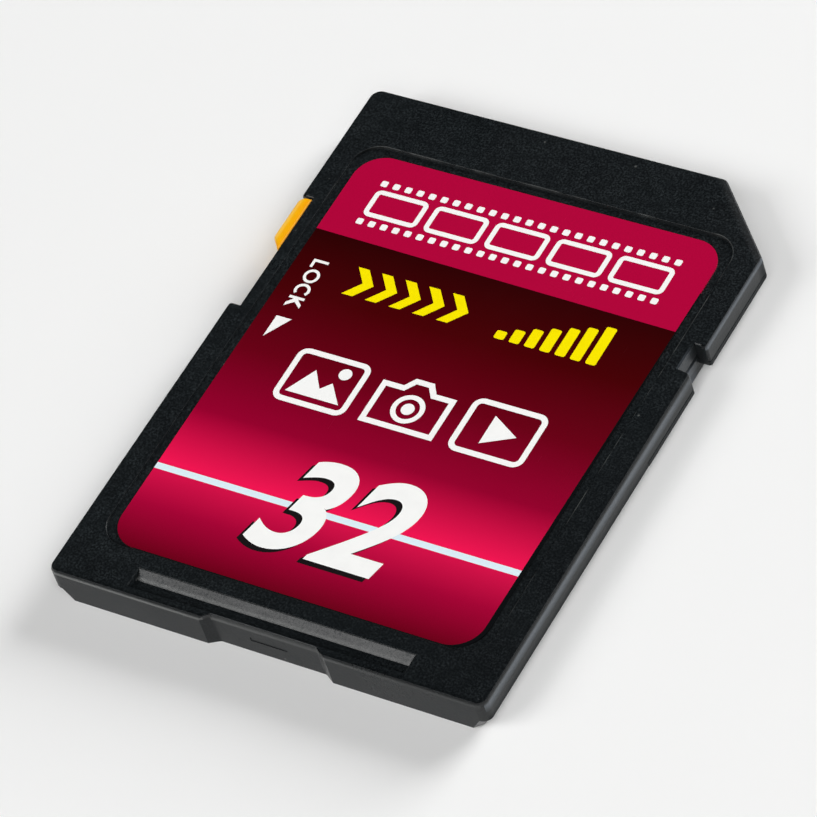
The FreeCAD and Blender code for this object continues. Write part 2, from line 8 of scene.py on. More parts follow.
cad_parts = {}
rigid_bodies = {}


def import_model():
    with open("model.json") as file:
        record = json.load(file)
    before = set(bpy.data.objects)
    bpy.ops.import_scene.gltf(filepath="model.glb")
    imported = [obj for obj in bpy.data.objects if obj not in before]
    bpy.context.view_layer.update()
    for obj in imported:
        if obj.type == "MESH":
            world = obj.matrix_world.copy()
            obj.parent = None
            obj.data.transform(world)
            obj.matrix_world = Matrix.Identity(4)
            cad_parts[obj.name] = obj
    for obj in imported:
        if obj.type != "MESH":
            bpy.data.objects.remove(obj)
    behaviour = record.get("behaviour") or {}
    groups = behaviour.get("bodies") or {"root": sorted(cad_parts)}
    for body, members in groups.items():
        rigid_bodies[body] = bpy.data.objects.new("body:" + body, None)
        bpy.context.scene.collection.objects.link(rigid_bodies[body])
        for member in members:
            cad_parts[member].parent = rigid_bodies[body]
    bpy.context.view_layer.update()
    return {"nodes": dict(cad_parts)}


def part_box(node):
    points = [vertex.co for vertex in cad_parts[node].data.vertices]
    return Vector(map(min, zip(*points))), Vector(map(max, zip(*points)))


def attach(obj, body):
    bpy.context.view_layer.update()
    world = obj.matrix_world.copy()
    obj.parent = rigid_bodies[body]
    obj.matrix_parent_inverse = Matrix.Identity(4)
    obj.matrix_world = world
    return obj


for thing in list(bpy.data.objects):  # start from an empty scene
    bpy.data.objects.remove(thing)
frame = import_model()
nodes = frame["nodes"]
mm = 0.001
print("frame loaded:", len(nodes), "pieces")


# colours are written as they look on screen, 0 to 255
def paint(red, green, blue):
    def toLinear(level):
        share = level / 255
        return share / 12.92 if share <= 0.04045 else ((share + 0.055) / 1.055) ** 2.4
    return (toLinear(red), toLinear(green), toLinear(blue), 1.0)


# node helpers

def addNode(tree, kind, **settings):
    node = tree.nodes.new(kind)
    for name, value in settings.items():
        setattr(node, name, value)
    return node


# a value is set on the socket, and another node's socket is linked to it
def feed(tree, socket, source):
    if isinstance(source, bpy.types.NodeSocket):
        tree.links.new(source, socket)
    else:
        socket.default_value = source


def maths(tree, operation, first, second=0.0, third=0.0):
    node = addNode(tree, "ShaderNodeMath", operation=operation)
    for socket, source in zip(node.inputs, (first, second, third)):
        feed(tree, socket, source)
    return node.outputs[0]


def mapRange(tree, value, fromLow, fromHigh, toLow=0.0, toHigh=1.0):
    node = addNode(tree, "ShaderNodeMapRange")
    for name, source in (("Value", value), ("From Min", fromLow), ("From Max", fromHigh),
                         ("To Min", toLow), ("To Max", toHigh)):
        feed(tree, node.inputs[name], source)
    return node.outputs["Result"]


def mixColour(tree, share, first, second):
    node = addNode(tree, "ShaderNodeMix", data_type="RGBA")
    feed(tree, node.inputs[0], share)
    feed(tree, node.inputs[6], first)
    feed(tree, node.inputs[7], second)
    return node.outputs[2]


def noise(tree, place, scale, detail=2.0, roughness=0.5):
    node = addNode(tree, "ShaderNodeTexNoise")
    for name, source in (("Vector", place), ("Scale", scale), ("Detail", detail), ("Roughness", roughness)):
        feed(tree, node.inputs[name], source)
    return node.outputs["Fac"]


def objectPlace(tree):
    return addNode(tree, "ShaderNodeTexCoord").outputs["Object"]


def parted(tree, vector):
    node = addNode(tree, "ShaderNodeSeparateXYZ")
    feed(tree, node.inputs[0], vector)
    return node.outputs


# distance in metres outside a rounded rectangle, whose sizes are in millimetres
def roundedDistance(tree, x, y, middleX, middleY, halfX, halfY, radius):
    over = []
    for value, middle, half in ((x, middleX, halfX), (y, middleY, halfY)):
        offMiddle = maths(tree, "ABSOLUTE", maths(tree, "SUBTRACT", value, middle * mm))
        over.append(maths(tree, "SUBTRACT", offMiddle, (half - radius) * mm))
    cornerX, cornerY = (maths(tree, "MAXIMUM", value) for value in over)
    corner = maths(tree, "SQRT", maths(tree, "MULTIPLY_ADD", cornerX, cornerX,
                                       maths(tree, "MULTIPLY", cornerY, cornerY)))
    inside = maths(tree, "MINIMUM", maths(tree, "MAXIMUM", *over))
    return maths(tree, "SUBTRACT", maths(tree, "ADD", corner, inside), radius * mm)


def newGroup(name, inputs, outputs):
    tree = bpy.data.node_groups.new(name, "ShaderNodeTree")
    for label, default in inputs:
        socket = tree.interface.new_socket(label, in_out="INPUT", socket_type="NodeSocketFloat")
        socket.default_value = default
    for label in outputs:
        tree.interface.new_socket(label, in_out="OUTPUT", socket_type="NodeSocketFloat")
    start = addNode(tree, "NodeGroupInput")
    end = addNode(tree, "NodeGroupOutput")
    return tree, start.outputs, end.inputs


def useGroup(tree, group, **values):
    node = addNode(tree, "ShaderNodeGroup", node_tree=group)
    for name, value in values.items():
        feed(tree, node.inputs[name], value)
    return node.outputs


# shader groups: sizes go in as millimetres

# fine grain of a moulded surface, uneven patches and a few pale flecks
def makeMouldGrain():
    tree, given, out = newGroup("mouldGrain", [("grainSize", 0.12), ("patchSize", 4.0)],
                                ["height", "speckle", "patch", "fleck"])
    place = objectPlace(tree)
    grainScale = maths(tree, "DIVIDE", 1000.0, given["grainSize"])
    grain = noise(tree, place, grainScale, detail=2.5, roughness=0.65)
    feed(tree, out["height"], grain)
    clump = noise(tree, place, maths(tree, "MULTIPLY", grainScale, 0.16), detail=2.0)
    speckle = mapRange(tree, grain, 0.43, 0.70)
    feed(tree, out["speckle"], maths(tree, "MULTIPLY", speckle, mapRange(tree, clump, 0.3, 0.66, 0.4, 1.0)))
    patchScale = maths(tree, "DIVIDE", 1000.0, given["patchSize"])
    feed(tree, out["patch"], mapRange(tree, noise(tree, place, patchScale, detail=3.0), 0.35, 0.65))
    cells = addNode(tree, "ShaderNodeTexVoronoi")
    feed(tree, cells.inputs["Vector"], place)
    feed(tree, cells.inputs["Scale"], maths(tree, "MULTIPLY", grainScale, 0.13))
    draw = addNode(tree, "ShaderNodeSeparateColor")
    feed(tree, draw.inputs[0], cells.outputs["Color"])
    spot = mapRange(tree, cells.outputs["Distance"], 0.10, 0.05)
    feed(tree, out["fleck"], maths(tree, "MULTIPLY", spot, maths(tree, "GREATER_THAN", draw.outputs[0], 0.8)))
    return tree


# faint smears and hair scratches from handling
def makeHandlingMarks():
    tree, given, out = newGroup("handlingMarks", [("smearSize", 7.0), ("scratchWidth", 0.05)],
                                ["smear", "scratch"])
    place = objectPlace(tree)
    smearScale = maths(tree, "DIVIDE", 1000.0, given["smearSize"])
    smear = noise(tree, place, smearScale, detail=4.0, roughness=0.62)
    feed(tree, out["smear"], mapRange(tree, smear, 0.38, 0.7))
    turned = addNode(tree, "ShaderNodeMapping")
    feed(tree, turned.inputs["Vector"], place)
    turned.inputs["Rotation"].default_value = (0.0, 0.0, 0.5)
    turned.inputs["Scale"].default_value = (1.0, 0.035, 1.0)
    hairScale = maths(tree, "DIVIDE", 250.0, given["scratchWidth"])
    hair = noise(tree, turned.outputs["Vector"], hairScale, detail=1.0)
    broken = noise(tree, place, 420.0, detail=1.0)
    line = maths(tree, "MULTIPLY", mapRange(tree, hair, 0.70, 0.76), mapRange(tree, broken, 0.52, 0.62))
    feed(tree, out["scratch"], line)
    return tree


mouldGrain = makeMouldGrain()
handlingMarks = makeHandlingMarks()
print("shader groups ready")


def newMaterial(name, **constants):
    material = bpy.data.materials.new(name)
    material.use_nodes = True
    tree = material.node_tree
    shader = tree.nodes["Principled BSDF"]
    for label, value in constants.items():
        shader.inputs[label].default_value = value
    return material, tree, shader


def addBump(tree, shader, height, depth):
    bump = addNode(tree, "ShaderNodeBump")
    bump.inputs["Distance"].default_value = depth * mm
    feed(tree, bump.inputs["Height"], height)
    feed(tree, shader.inputs["Normal"], bump.outputs["Normal"])


def dressNodes(material, *names):
    for name in names:
        slots = nodes[name].data.materials
        slots.clear()
        slots.append(material)


# covers

coverLook = {
    "black": paint(11, 14, 16),
    "patchTint": paint(17, 21, 23),
    "patchShare": 0.5,
    "speck": paint(56, 63, 66),
    "fleck": paint(104, 106, 104),
    "fleckShare": 0.5,
    "specular": 0.34,
    "roughness": (0.26, 0.33),
    "sparkle": 0.19,
    "grainSize": 0.11,
    "grainDepth": 0.007,
    "grainShare": 0.54,
    "grainWorn": (3.0, 14.0, 0.6),  # worn smoother towards the near right corner, by X less Y
    "highlightTint": paint(146, 155, 165),  # painted highlight, a pale line along the top of the long sides
    "highlightHeights": (1.28, 1.67, 1.79, 1.90),
    "highlightShare": 0.33,
    "highlightSmear": 0.75,  # left of it under smears
    "highlightFade": (2.0, 6.0, 0.1),  # it grows fainter between these places along the card
    "farHighlight": {"heights": (1.76, 1.86, 1.94, 2.02), "along": (5.6, 6.2), "share": 0.36},  # finer beyond them
    "nearHighlightTint": paint(154, 156, 154),
    "nearLines": {  # painted highlights, pale lines at the near end: place from it and reach, heights, shares at left and right
        "edge": {"place": (0.0, 0.1), "heights": (1.72, 1.81, 1.86, 1.94), "share": (0.42, 0.07)},
        "fingerRecess": {"place": (0.34, 0.06), "heights": (1.60, 1.70, 1.77, 1.92), "share": (0.28, 0.07)},
        "grooveFoot": {"place": (1.28, 0.3), "heights": (1.755, 1.79, 1.82, 1.88), "share": (0.22, 0.12)},
    },
    "nearSpan": (-7.0, 8.0),  # left and right places of those shares
    "nearSmear": 0.8,
    "edgeRound": 0.3,
    "edgeBlend": 0.1,
    "cutSum": 24.0,  # X and Y together on the cut corner's wall
    "cutMatt": (23.3, 23.8, 0.4),  # its edge is rubbed matt
    "mattHeights": (1.15, 0.80),  # and so are the rails lower down
    "mattShare": 0.4,
    "latchWall": {  # back wall of the latch notch: painted highlight makes it paler, more so below the seam across it
        "across": (11.30, 0.07),
        "along": (4.5, 6.14),
        "seam": (1.11, 1.34),
        "step": 0.45,
        "share": (0.32, 0.10),
        "fade": (5.3, 6.0),  # the painted highlight fades out towards the square end, where the wall is left dark as in shade
    },
    "rim": paint(128, 130, 128),  # painted highlight, a broken pale line on the far rims of the label recess
    "rimPlace": (0.0, -0.5, 10.64, 13.1, 1.4),  # middle, half sizes, corner radius
    "rimWidth": 0.05,
    "rimShare": 0.24,
    "rimFar": (-3.0, 4.0),  # it comes in between these, by X and Y together
    "rimBroken": (0.44, 0.62),
}


# faces on the long sides
def longSides(tree, place):
    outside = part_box("front_cover")[1].x - 0.1 * mm
    return maths(tree, "GREATER_THAN", maths(tree, "ABSOLUTE", place["X"]), outside)


# a band between heights, soft at both edges
def heightBand(tree, place, heights):
    low, full, fade, high = (level * mm for level in heights)
    rising = mapRange(tree, place["Z"], low, full)
    return maths(tree, "MULTIPLY", rising, mapRange(tree, place["Z"], high, fade))


# painted highlights at the near end: a line below the top edge, one in the finger recess and one at the foot
# of the groove's slope
def nearHighlight(tree, place, smear):
    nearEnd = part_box("front_cover")[0].y
    leftPlace, rightPlace = (length * mm for length in coverLook["nearSpan"])
    lines = 0.0
    for line in coverLook["nearLines"].values():
        inset, reach = (length * mm for length in line["place"])
        here = maths(tree, "COMPARE", place["Y"], nearEnd + inset, reach)
        here = maths(tree, "MULTIPLY", here, heightBand(tree, place, line["heights"]))
        share = mapRange(tree, place["X"], leftPlace, rightPlace, *line["share"])
        lines = maths(tree, "MULTIPLY_ADD", here, share, lines)
    return maths(tree, "MULTIPLY", lines, mapRange(tree, smear, 0.0, 1.0, 1.0, coverLook["nearSmear"]))


# height that makes the rounded top edge catch light as a sharper one, in units of the grain
def edgeSharpness(tree, place):
    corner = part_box("front_cover")[1]
    edge = coverLook["edgeRound"] * mm
    side = maths(tree, "GREATER_THAN", maths(tree, "ABSOLUTE", place["X"]), corner.x - edge)
    end = maths(tree, "GREATER_THAN", maths(tree, "ABSOLUTE", place["Y"]), corner.y - edge)
    outside = coverLook["cutSum"] * mm - edge * math.sqrt(2)
    cut = maths(tree, "GREATER_THAN", maths(tree, "ADD", place["X"], place["Y"]), outside)
    outline = maths(tree, "MAXIMUM", maths(tree, "MAXIMUM", side, end), cut)
    up = mapRange(tree, place["Z"], corner.z - edge, corner.z)
    out = maths(tree, "SQRT", maths(tree, "SUBTRACT", 1.0, maths(tree, "MULTIPLY", up, up)))
    lift = maths(tree, "LOGARITHM", maths(tree, "SMOOTH_MAX", up, out, coverLook["edgeBlend"]), math.e)
    lift = maths(tree, "MULTIPLY", lift, -coverLook["edgeRound"] / coverLook["grainDepth"])
    return maths(tree, "MULTIPLY", lift, outline)


# painted highlight on the long sides, near the top and uneven
def edgeHighlight(tree, place, smear):
    share = coverLook["highlightShare"]
    start, end, left = coverLook["highlightFade"]
    kept = mapRange(tree, place["Y"], start * mm, end * mm, share, share * left)
    band = maths(tree, "MULTIPLY", heightBand(tree, place, coverLook["highlightHeights"]), kept)
    far = coverLook["farHighlight"]
    beyond = mapRange(tree, place["Y"], *(length * mm for length in far["along"]), 0.0, far["share"])
    band = maths(tree, "MULTIPLY_ADD", heightBand(tree, place, far["heights"]), beyond, band)
    band = maths(tree, "MULTIPLY", band, longSides(tree, place))
    return maths(tree, "MULTIPLY", band, mapRange(tree, smear, 0.0, 1.0, 1.0, coverLook["highlightSmear"]))


# back wall of the latch notch: share of the painted highlight's tint, and height of the seam's step in units
# of the grain
def latchHighlight(tree, place):
    wall = coverLook["latchWall"]
    across, reach = (length * mm for length in wall["across"])
    low, high = (length * mm for length in wall["along"])
    along = maths(tree, "COMPARE", place["Y"], (low + high) / 2, (high - low) / 2)
    here = maths(tree, "MULTIPLY", maths(tree, "COMPARE", place["X"], across, reach), along)
    seam = [level * mm for level in wall["seam"]]
    share = maths(tree, "MULTIPLY", here, mapRange(tree, place["Z"], *seam, *wall["share"]))
    fade = [length * mm for length in wall["fade"]]
    share = maths(tree, "MULTIPLY", share, mapRange(tree, place["Y"], *fade, 1.0, 0.0))
    step = mapRange(tree, place["Z"], *seam, wall["step"] / coverLook["grainDepth"], 0.0)
    return share, maths(tree, "MULTIPLY", here, step)


# painted highlight: a thin broken line just outside the rounded outline of the label recess, on its far sides
def rimHighlight(tree, place):
    away = roundedDistance(tree, place["X"], place["Y"], *coverLook["rimPlace"])
    half = coverLook["rimWidth"] / 2 * mm
    offLine = maths(tree, "ABSOLUTE", maths(tree, "SUBTRACT", away, half))
    line = mapRange(tree, offLine, half * 1.4, half * 0.6)
    broken = mapRange(tree, noise(tree, objectPlace(tree), 900.0, detail=4.0), *coverLook["rimBroken"])
    far = [length * mm for length in coverLook["rimFar"]]
    farSide = mapRange(tree, maths(tree, "ADD", place["X"], place["Y"]), *far, 0.0, coverLook["rimShare"])
    return maths(tree, "MULTIPLY", maths(tree, "MULTIPLY", line, broken), farSide)


def makeBlackPlastic():
    material, tree, shader = newMaterial("blackPlastic", **{"Specular IOR Level": coverLook["specular"]})
    grain = useGroup(tree, mouldGrain, grainSize=coverLook["grainSize"], patchSize=3.5)
    marks = useGroup(tree, handlingMarks, smearSize=6.0, scratchWidth=0.06)
    place = parted(tree, objectPlace(tree))
    uneven = maths(tree, "MULTIPLY", grain["patch"], coverLook["patchShare"])
    tone = mixColour(tree, uneven, coverLook["black"], coverLook["patchTint"])
    start, end, left = coverLook["grainWorn"]
    share = coverLook["grainShare"]
    nearRight = maths(tree, "SUBTRACT", place["X"], place["Y"])
    shown = mapRange(tree, nearRight, start * mm, end * mm, share, share * left)
    tone = mixColour(tree, maths(tree, "MULTIPLY", grain["speckle"], shown), tone, coverLook["speck"])
    flecked = maths(tree, "MULTIPLY", grain["fleck"], coverLook["fleckShare"])
    tone = mixColour(tree, flecked, tone, coverLook["fleck"])
    # painted highlight along the top of the long sides
    tone = mixColour(tree, edgeHighlight(tree, place, marks["smear"]), tone, coverLook["highlightTint"])
    # painted highlights at the near end
    tone = mixColour(tree, nearHighlight(tree, place, marks["smear"]), tone, coverLook["nearHighlightTint"])
    # painted highlight on the far rims of the label recess
    tone = mixColour(tree, rimHighlight(tree, place), tone, coverLook["rim"])
    # painted highlight on the latch notch's back wall, fading to painted shade at its square end
    latchHighlightShare, latchStep = latchHighlight(tree, place)
    tone = mixColour(tree, latchHighlightShare, tone, coverLook["highlightTint"])
    feed(tree, shader.inputs["Base Color"], tone)
    low, high = coverLook["roughness"]
    gloss = mapRange(tree, marks["smear"], 0.0, 1.0, high, low)
    gloss = maths(tree, "MULTIPLY_ADD", grain["speckle"], coverLook["sparkle"], gloss)
    heights = [level * mm for level in coverLook["mattHeights"]]
    matt = mapRange(tree, place["Z"], *heights, 0.0, coverLook["mattShare"])
    gloss = maths(tree, "MULTIPLY_ADD", matt, longSides(tree, place), gloss)
    start, end, most = coverLook["cutMatt"]
    cutEdge = mapRange(tree, maths(tree, "ADD", place["X"], place["Y"]), start * mm, end * mm, 0.0, most)
    feed(tree, shader.inputs["Roughness"], maths(tree, "ADD", gloss, cutEdge))
    height = maths(tree, "ADD", grain["height"], edgeSharpness(tree, place))
    height = maths(tree, "ADD", height, latchStep)
    addBump(tree, shader, height, coverLook["grainDepth"])
    return material


dressNodes(makeBlackPlastic(), "front_cover", "rear_cover")


# lock slider

sliderLook = {
    "amber": paint(255, 190, 6),
    "deep": paint(255, 168, 0),
    "innerShadePlace": (0.25, 0.65, 0.9),  # painted shade on the inner part, where the slider goes under the cover: from the outer side, and share
    "pale": paint(255, 206, 96),  # painted highlight towards the outer side
    "highlightPlace": (0.3, 0.05),
    "roughness": 0.36,
    "grainSize": 0.16,
    "grainDepth": 0.004,
}


def makeAmberPlastic():
    material, tree, shader = newMaterial("amberPlastic", **{
        "Subsurface Weight": 0.12, "Subsurface Scale": 0.3 * mm, "Subsurface Radius": (1.0, 0.5, 0.1)})
    grain = useGroup(tree, mouldGrain, grainSize=sliderLook["grainSize"], patchSize=1.2)
    share = maths(tree, "MULTIPLY_ADD", grain["speckle"], 0.3, maths(tree, "MULTIPLY", grain["patch"], 0.4))
    tone = mixColour(tree, share, sliderLook["amber"], sliderLook["deep"])
    across = parted(tree, objectPlace(tree))["X"]
    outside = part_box("lock_slider")[0].x
    # painted shade on the slider's inner part, where it goes under the cover
    start, end, most = sliderLook["innerShadePlace"]
    innerShade = mapRange(tree, across, outside + start * mm, outside + end * mm, 0.0, most)
    tone = mixColour(tree, innerShade, tone, sliderLook["deep"])
    # painted highlight along the slider's outer side
    start, end = sliderLook["highlightPlace"]
    outerHighlight = mapRange(tree, across, outside + start * mm, outside + end * mm)
    feed(tree, shader.inputs["Base Color"], mixColour(tree, outerHighlight, tone, sliderLook["pale"]))
    feed(tree, shader.inputs["Roughness"],
         maths(tree, "MULTIPLY_ADD", grain["speckle"], 0.08, sliderLook["roughness"]))
    addBump(tree, shader, grain["height"], sliderLook["grainDepth"])
    return material


dressNodes(makeAmberPlastic(), "lock_slider")
print("covers and slider finished")


# label: printed film with bands of colour across it

labelLow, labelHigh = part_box("front_label")
labelLook = {
    "fade": [  # place along the label in millimetres, colour
        (6.8, paint(41, 0, 0)),
        (3.0, paint(71, 0, 4)),
        (-1.0, paint(107, 0, 22)),
        (-5.0, paint(152, 0, 46)),
        (-8.4, paint(247, 22, 84)),
        (-9.0, paint(217, 17, 74)),
        (-11.0, paint(168, 3, 54)),
        (-13.5, paint(108, 0, 24)),
    ],
    "inkSpread": paint(110, 0, 24),  # uneven ink in the bands
    "inkSpreadShare": 0.05,
    "field": paint(180, 4, 59),
    "fieldEdge": (6.71, -0.0156),  # place at the middle in millimetres, slope
    "stripe": paint(224, 242, 250),
    "stripeEdge": (-8.73, 0.003),
    "stripeWidth": 0.36,
    "margin": paint(12, 14, 16),  # bare film along the right edge
    "marginEdge": (10.05, 0.011),
    "marginCorner": 1.55,
    "roughness": (0.20, 0.28),
    "gloss": 0.3,
    "peelDepth": 0.002,
    "inkHeight": 0.012,
    "shadowHeight": 0.006,
    "inkSink": 0.004,
}


def filmFinish(tree, shader):
    marks = useGroup(tree, handlingMarks, smearSize=8.0, scratchWidth=0.035)
    grain = useGroup(tree, mouldGrain, grainSize=0.9, patchSize=9.0)
    low, high = labelLook["roughness"]
    gloss = mapRange(tree, marks["smear"], 0.0, 1.0, low, high)
    feed(tree, shader.inputs["Roughness"], maths(tree, "MULTIPLY_ADD", marks["scratch"], 0.03, gloss))
    addBump(tree, shader, grain["height"], labelLook["peelDepth"])
    return grain


def newFilm(name):
    return newMaterial(name, **{"Specular IOR Level": labelLook["gloss"]})


# distance in metres from a line across the label
def lineDistance(tree, place, edge):
    level, slope = edge
    along = maths(tree, "MULTIPLY_ADD", place["X"], -slope, place["Y"])
    return maths(tree, "SUBTRACT", along, level * mm)


def makePrintedFilm():
    material, tree, shader = newFilm("printedFilm")
    grain = filmFinish(tree, shader)
    place = parted(tree, objectPlace(tree))
    ramp = addNode(tree, "ShaderNodeValToRGB")
    feed(tree, ramp.inputs["Fac"], mapRange(tree, place["Y"], labelLow.y, labelHigh.y))
    stops = ramp.color_ramp.elements
    span = labelHigh.y - labelLow.y
    shares = [((y * mm - labelLow.y) / span, colour) for y, colour in labelLook["fade"]]
    fade = sorted((min(max(share, 0.0), 1.0), colour) for share, colour in shares)
    stops[0].position, stops[0].color = fade[0]
    stops[1].position, stops[1].color = fade[-1]
    for position, colour in fade[1:-1]:
        stops.new(position).color = colour
    spread = mapRange(tree, grain["patch"], 0.0, 1.0, 0.0, labelLook["inkSpreadShare"])
    tone = mixColour(tree, spread, ramp.outputs["Color"], labelLook["inkSpread"])
    field = maths(tree, "GREATER_THAN", lineDistance(tree, place, labelLook["fieldEdge"]), 0.0)
    tone = mixColour(tree, field, tone, labelLook["field"])
    offStripe = maths(tree, "ABSOLUTE", lineDistance(tree, place, labelLook["stripeEdge"]))
    stripe = maths(tree, "LESS_THAN", offStripe, labelLook["stripeWidth"] / 2 * mm)
    tone = mixColour(tree, stripe, tone, labelLook["stripe"])
    right, slope = labelLook["marginEdge"]
    leaning = maths(tree, "MULTIPLY_ADD", place["Y"], -slope, place["X"])
    low, high = labelLow.y / mm, labelHigh.y / mm
    half = 12.0  # wider than the label, so that only the right edge is bare
    bare = roundedDistance(tree, leaning, place["Y"], right - half, (low + high) / 2,
                           half, (high - low) / 2, labelLook["marginCorner"])
    tone = mixColour(tree, maths(tree, "GREATER_THAN", bare, 0.0), tone, labelLook["margin"])
    feed(tree, shader.inputs["Base Color"], tone)
    return material


def makeInk(name, colour, worn):
    material, tree, shader = newFilm(name)
    grain = filmFinish(tree, shader)
    share = maths(tree, "MULTIPLY", grain["speckle"], 0.35)
    feed(tree, shader.inputs["Base Color"], mixColour(tree, share, colour, worn))
    return material


dressNodes(makePrintedFilm(), "front_label")
whiteInk = makeInk("whiteInk", paint(252, 252, 250), paint(240, 240, 238))
yellowInk = makeInk("yellowInk", paint(255, 236, 0), paint(246, 222, 0))
shadowInk = makeInk("shadowInk", paint(24, 20, 22), paint(34, 28, 30))


# label print: flat shapes in millimetres on the label, each an outline or a ring of two outlines

def box(x, y, width, height):
    return [(x, y), (x + width, y), (x + width, y + height), (x, y + height)]


def arc(x, y, radiusX, radiusY, start, end, steps):
    turns = [math.radians(start + (end - start) * step / steps) for step in range(steps + 1)]
    return [(x + radiusX * math.cos(turn), y + radiusY * math.sin(turn)) for turn in turns]


def disc(x, y, radius, steps=48):
    return arc(x, y, radius, radius, 0, 360 - 360 / steps, steps - 1)


def roundBox(x, y, width, height, radius, steps=6):
    outline = []
    for turn, cornerX, cornerY in ((180, x + radius, y + radius), (270, x + width - radius, y + radius),
                                   (0, x + width - radius, y + height - radius),
                                   (90, x + radius, y + height - radius)):
        outline += arc(cornerX, cornerY, radius, radius, turn, turn + 90, steps)
    return outline


def frameRing(x, y, width, height, radius, line):
    inner = roundBox(x + line, y + line, width - 2 * line, height - 2 * line, radius - line)
    return roundBox(x, y, width, height, radius), inner


def discRing(x, y, radius, line):
    return disc(x, y, radius), disc(x, y, radius - line)


class Print:
    def __init__(self, name, ink, top):
        self.mesh = bmesh.new()
        self.name = name
        self.ink = ink
        self.top = labelHigh.z + top * mm
        self.foot = labelHigh.z - labelLook["inkSink"] * mm

    def layer(self, outline, height):
        return [self.mesh.verts.new((x * mm, y * mm, height)) for x, y in outline]

    def wall(self, lower, upper):
        for index, corner in enumerate(lower):
            after = (index + 1) % len(lower)
            self.mesh.faces.new((corner, lower[after], upper[after], upper[index]))

    def plate(self, outline):
        lower, upper = self.layer(outline, self.foot), self.layer(outline, self.top)
        self.wall(lower, upper)
        self.mesh.faces.new(upper)
        self.mesh.faces.new(lower[::-1])

    def ring(self, rims):
        outer, inner = rims
        outerLow, outerTop = self.layer(outer, self.foot), self.layer(outer, self.top)
        innerLow, innerTop = self.layer(inner, self.foot), self.layer(inner, self.top)
        self.wall(outerLow, outerTop)
        self.wall(outerTop, innerTop)
        self.wall(innerTop, innerLow)
        self.wall(innerLow, outerLow)

    def finish(self):
        bmesh.ops.recalc_face_normals(self.mesh, faces=self.mesh.faces)
        data = bpy.data.meshes.new(self.name)
        self.mesh.to_mesh(data)
        self.mesh.free()
        piece = bpy.data.objects.new(self.name, data)
        bpy.context.scene.collection.objects.link(piece)
        data.materials.append(self.ink)
        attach(piece, "card")


filmStripLook = {"left": -8.6, "bottom": 7.75, "frames": 5, "pitch": 3.44, "frameWidth": 3.05,
                 "frameHeight": 1.72, "line": 0.26, "corner": 0.36, "holeSize": 0.36, "holePitch": 0.688,
                 "holeGap": 0.22, "holeCorner": 0.08}


def printFilmStrip(white):
    look = filmStripLook
    frameBottom = look["bottom"] + look["holeSize"] + look["holeGap"]
    inset = (look["pitch"] - look["frameWidth"]) / 2
    for index in range(look["frames"]):
        x = look["left"] + index * look["pitch"] + inset
        white.ring(frameRing(x, frameBottom, look["frameWidth"], look["frameHeight"], look["corner"],
                             look["line"]))
    holeCount = round(look["frames"] * look["pitch"] / look["holePitch"])
    start = look["left"] + (look["holePitch"] - look["holeSize"]) / 2
    upper = frameBottom + look["frameHeight"] + look["holeGap"]
    size = look["holeSize"]
    for index in range(holeCount):
        for y in (look["bottom"], upper):
            white.plate(roundBox(start + index * look["holePitch"], y, size, size, look["holeCorner"], 3))


chevronLook = {"left": -6.8, "bottom": 3.55, "count": 5, "pitch": 1.34, "height": 1.75, "reach": 0.72,
               "line": 0.62}


def printChevrons(yellow):
    look = chevronLook
    for index in range(look["count"]):
        x, y, half = look["left"] + index * look["pitch"], look["bottom"], look["height"] / 2
        yellow.plate([(x, y), (x + look["line"], y), (x + look["line"] + look["reach"], y + half),
                      (x + look["line"], y + 2 * half), (x, y + 2 * half), (x + look["reach"], y + half)])


barLook = {"left": 1.8, "bottom": 3.45, "count": 7, "pitch": 0.84, "width": 0.56, "corner": 0.1,
           "shortest": 0.5, "tallest": 2.35}


def printRisingBars(yellow):
    look = barLook
    for index in range(look["count"]):
        height = look["shortest"] + (look["tallest"] - look["shortest"]) * index / (look["count"] - 1)
        x = look["left"] + index * look["pitch"]
        yellow.plate(roundBox(x, look["bottom"], look["width"], height, look["corner"], 3))


pictureLook = {"left": -6.95, "bottom": -3.3, "pitch": 4.9, "width": 4.1, "height": 3.3, "corner": 0.55,
               "line": 0.3}


def printPictograms(white):
    look = pictureLook
    bottom, width, height = look["bottom"], look["width"], look["height"]
    lefts = [look["left"] + index * look["pitch"] for index in range(3)]

    # a picture: hills and a sun in a frame
    x = lefts[0]
    white.ring(frameRing(x, bottom, width, height, look["corner"], look["line"]))
    white.plate([(x + 0.55, bottom + 0.62), (x + 3.55, bottom + 0.62), (x + 2.62, bottom + 1.72),
                 (x + 2.16, bottom + 1.22), (x + 1.42, bottom + 2.2)])
    white.plate(disc(x + 2.95, bottom + 2.4, 0.34))

    # a camera: body with a raised finder, and a lens
    x = lefts[1]
    body = [(0.0, 0.15), (width, 0.15), (width, 2.75), (2.95, 2.75), (2.55, 3.3), (1.55, 3.3), (1.15, 2.75),
            (0.0, 2.75)]
    hollow = [(0.3, 0.45), (width - 0.3, 0.45), (width - 0.3, 2.45), (2.79, 2.45), (2.39, 3.0), (1.71, 3.0),
              (1.31, 2.45), (0.3, 2.45)]
    white.ring([[(x + right, bottom + up) for right, up in outline] for outline in (body, hollow)])
    white.ring(discRing(x + width / 2, bottom + 1.5, 0.86, 0.26))
    white.plate(disc(x + width / 2, bottom + 1.5, 0.34))

    # a moving picture: a play mark in a frame
    x = lefts[2]
    white.ring(frameRing(x, bottom, width, height, look["corner"], look["line"]))
    white.plate([(x + 1.45, bottom + 0.78), (x + 3.05, bottom + height / 2),
                 (x + 1.45, bottom + height - 0.78)])


lockLook = {"foot": -9.22, "start": 5.08, "capHeight": 0.86, "line": 0.15, "arrowStart": 1.3,
            "arrowEnd": -0.05}


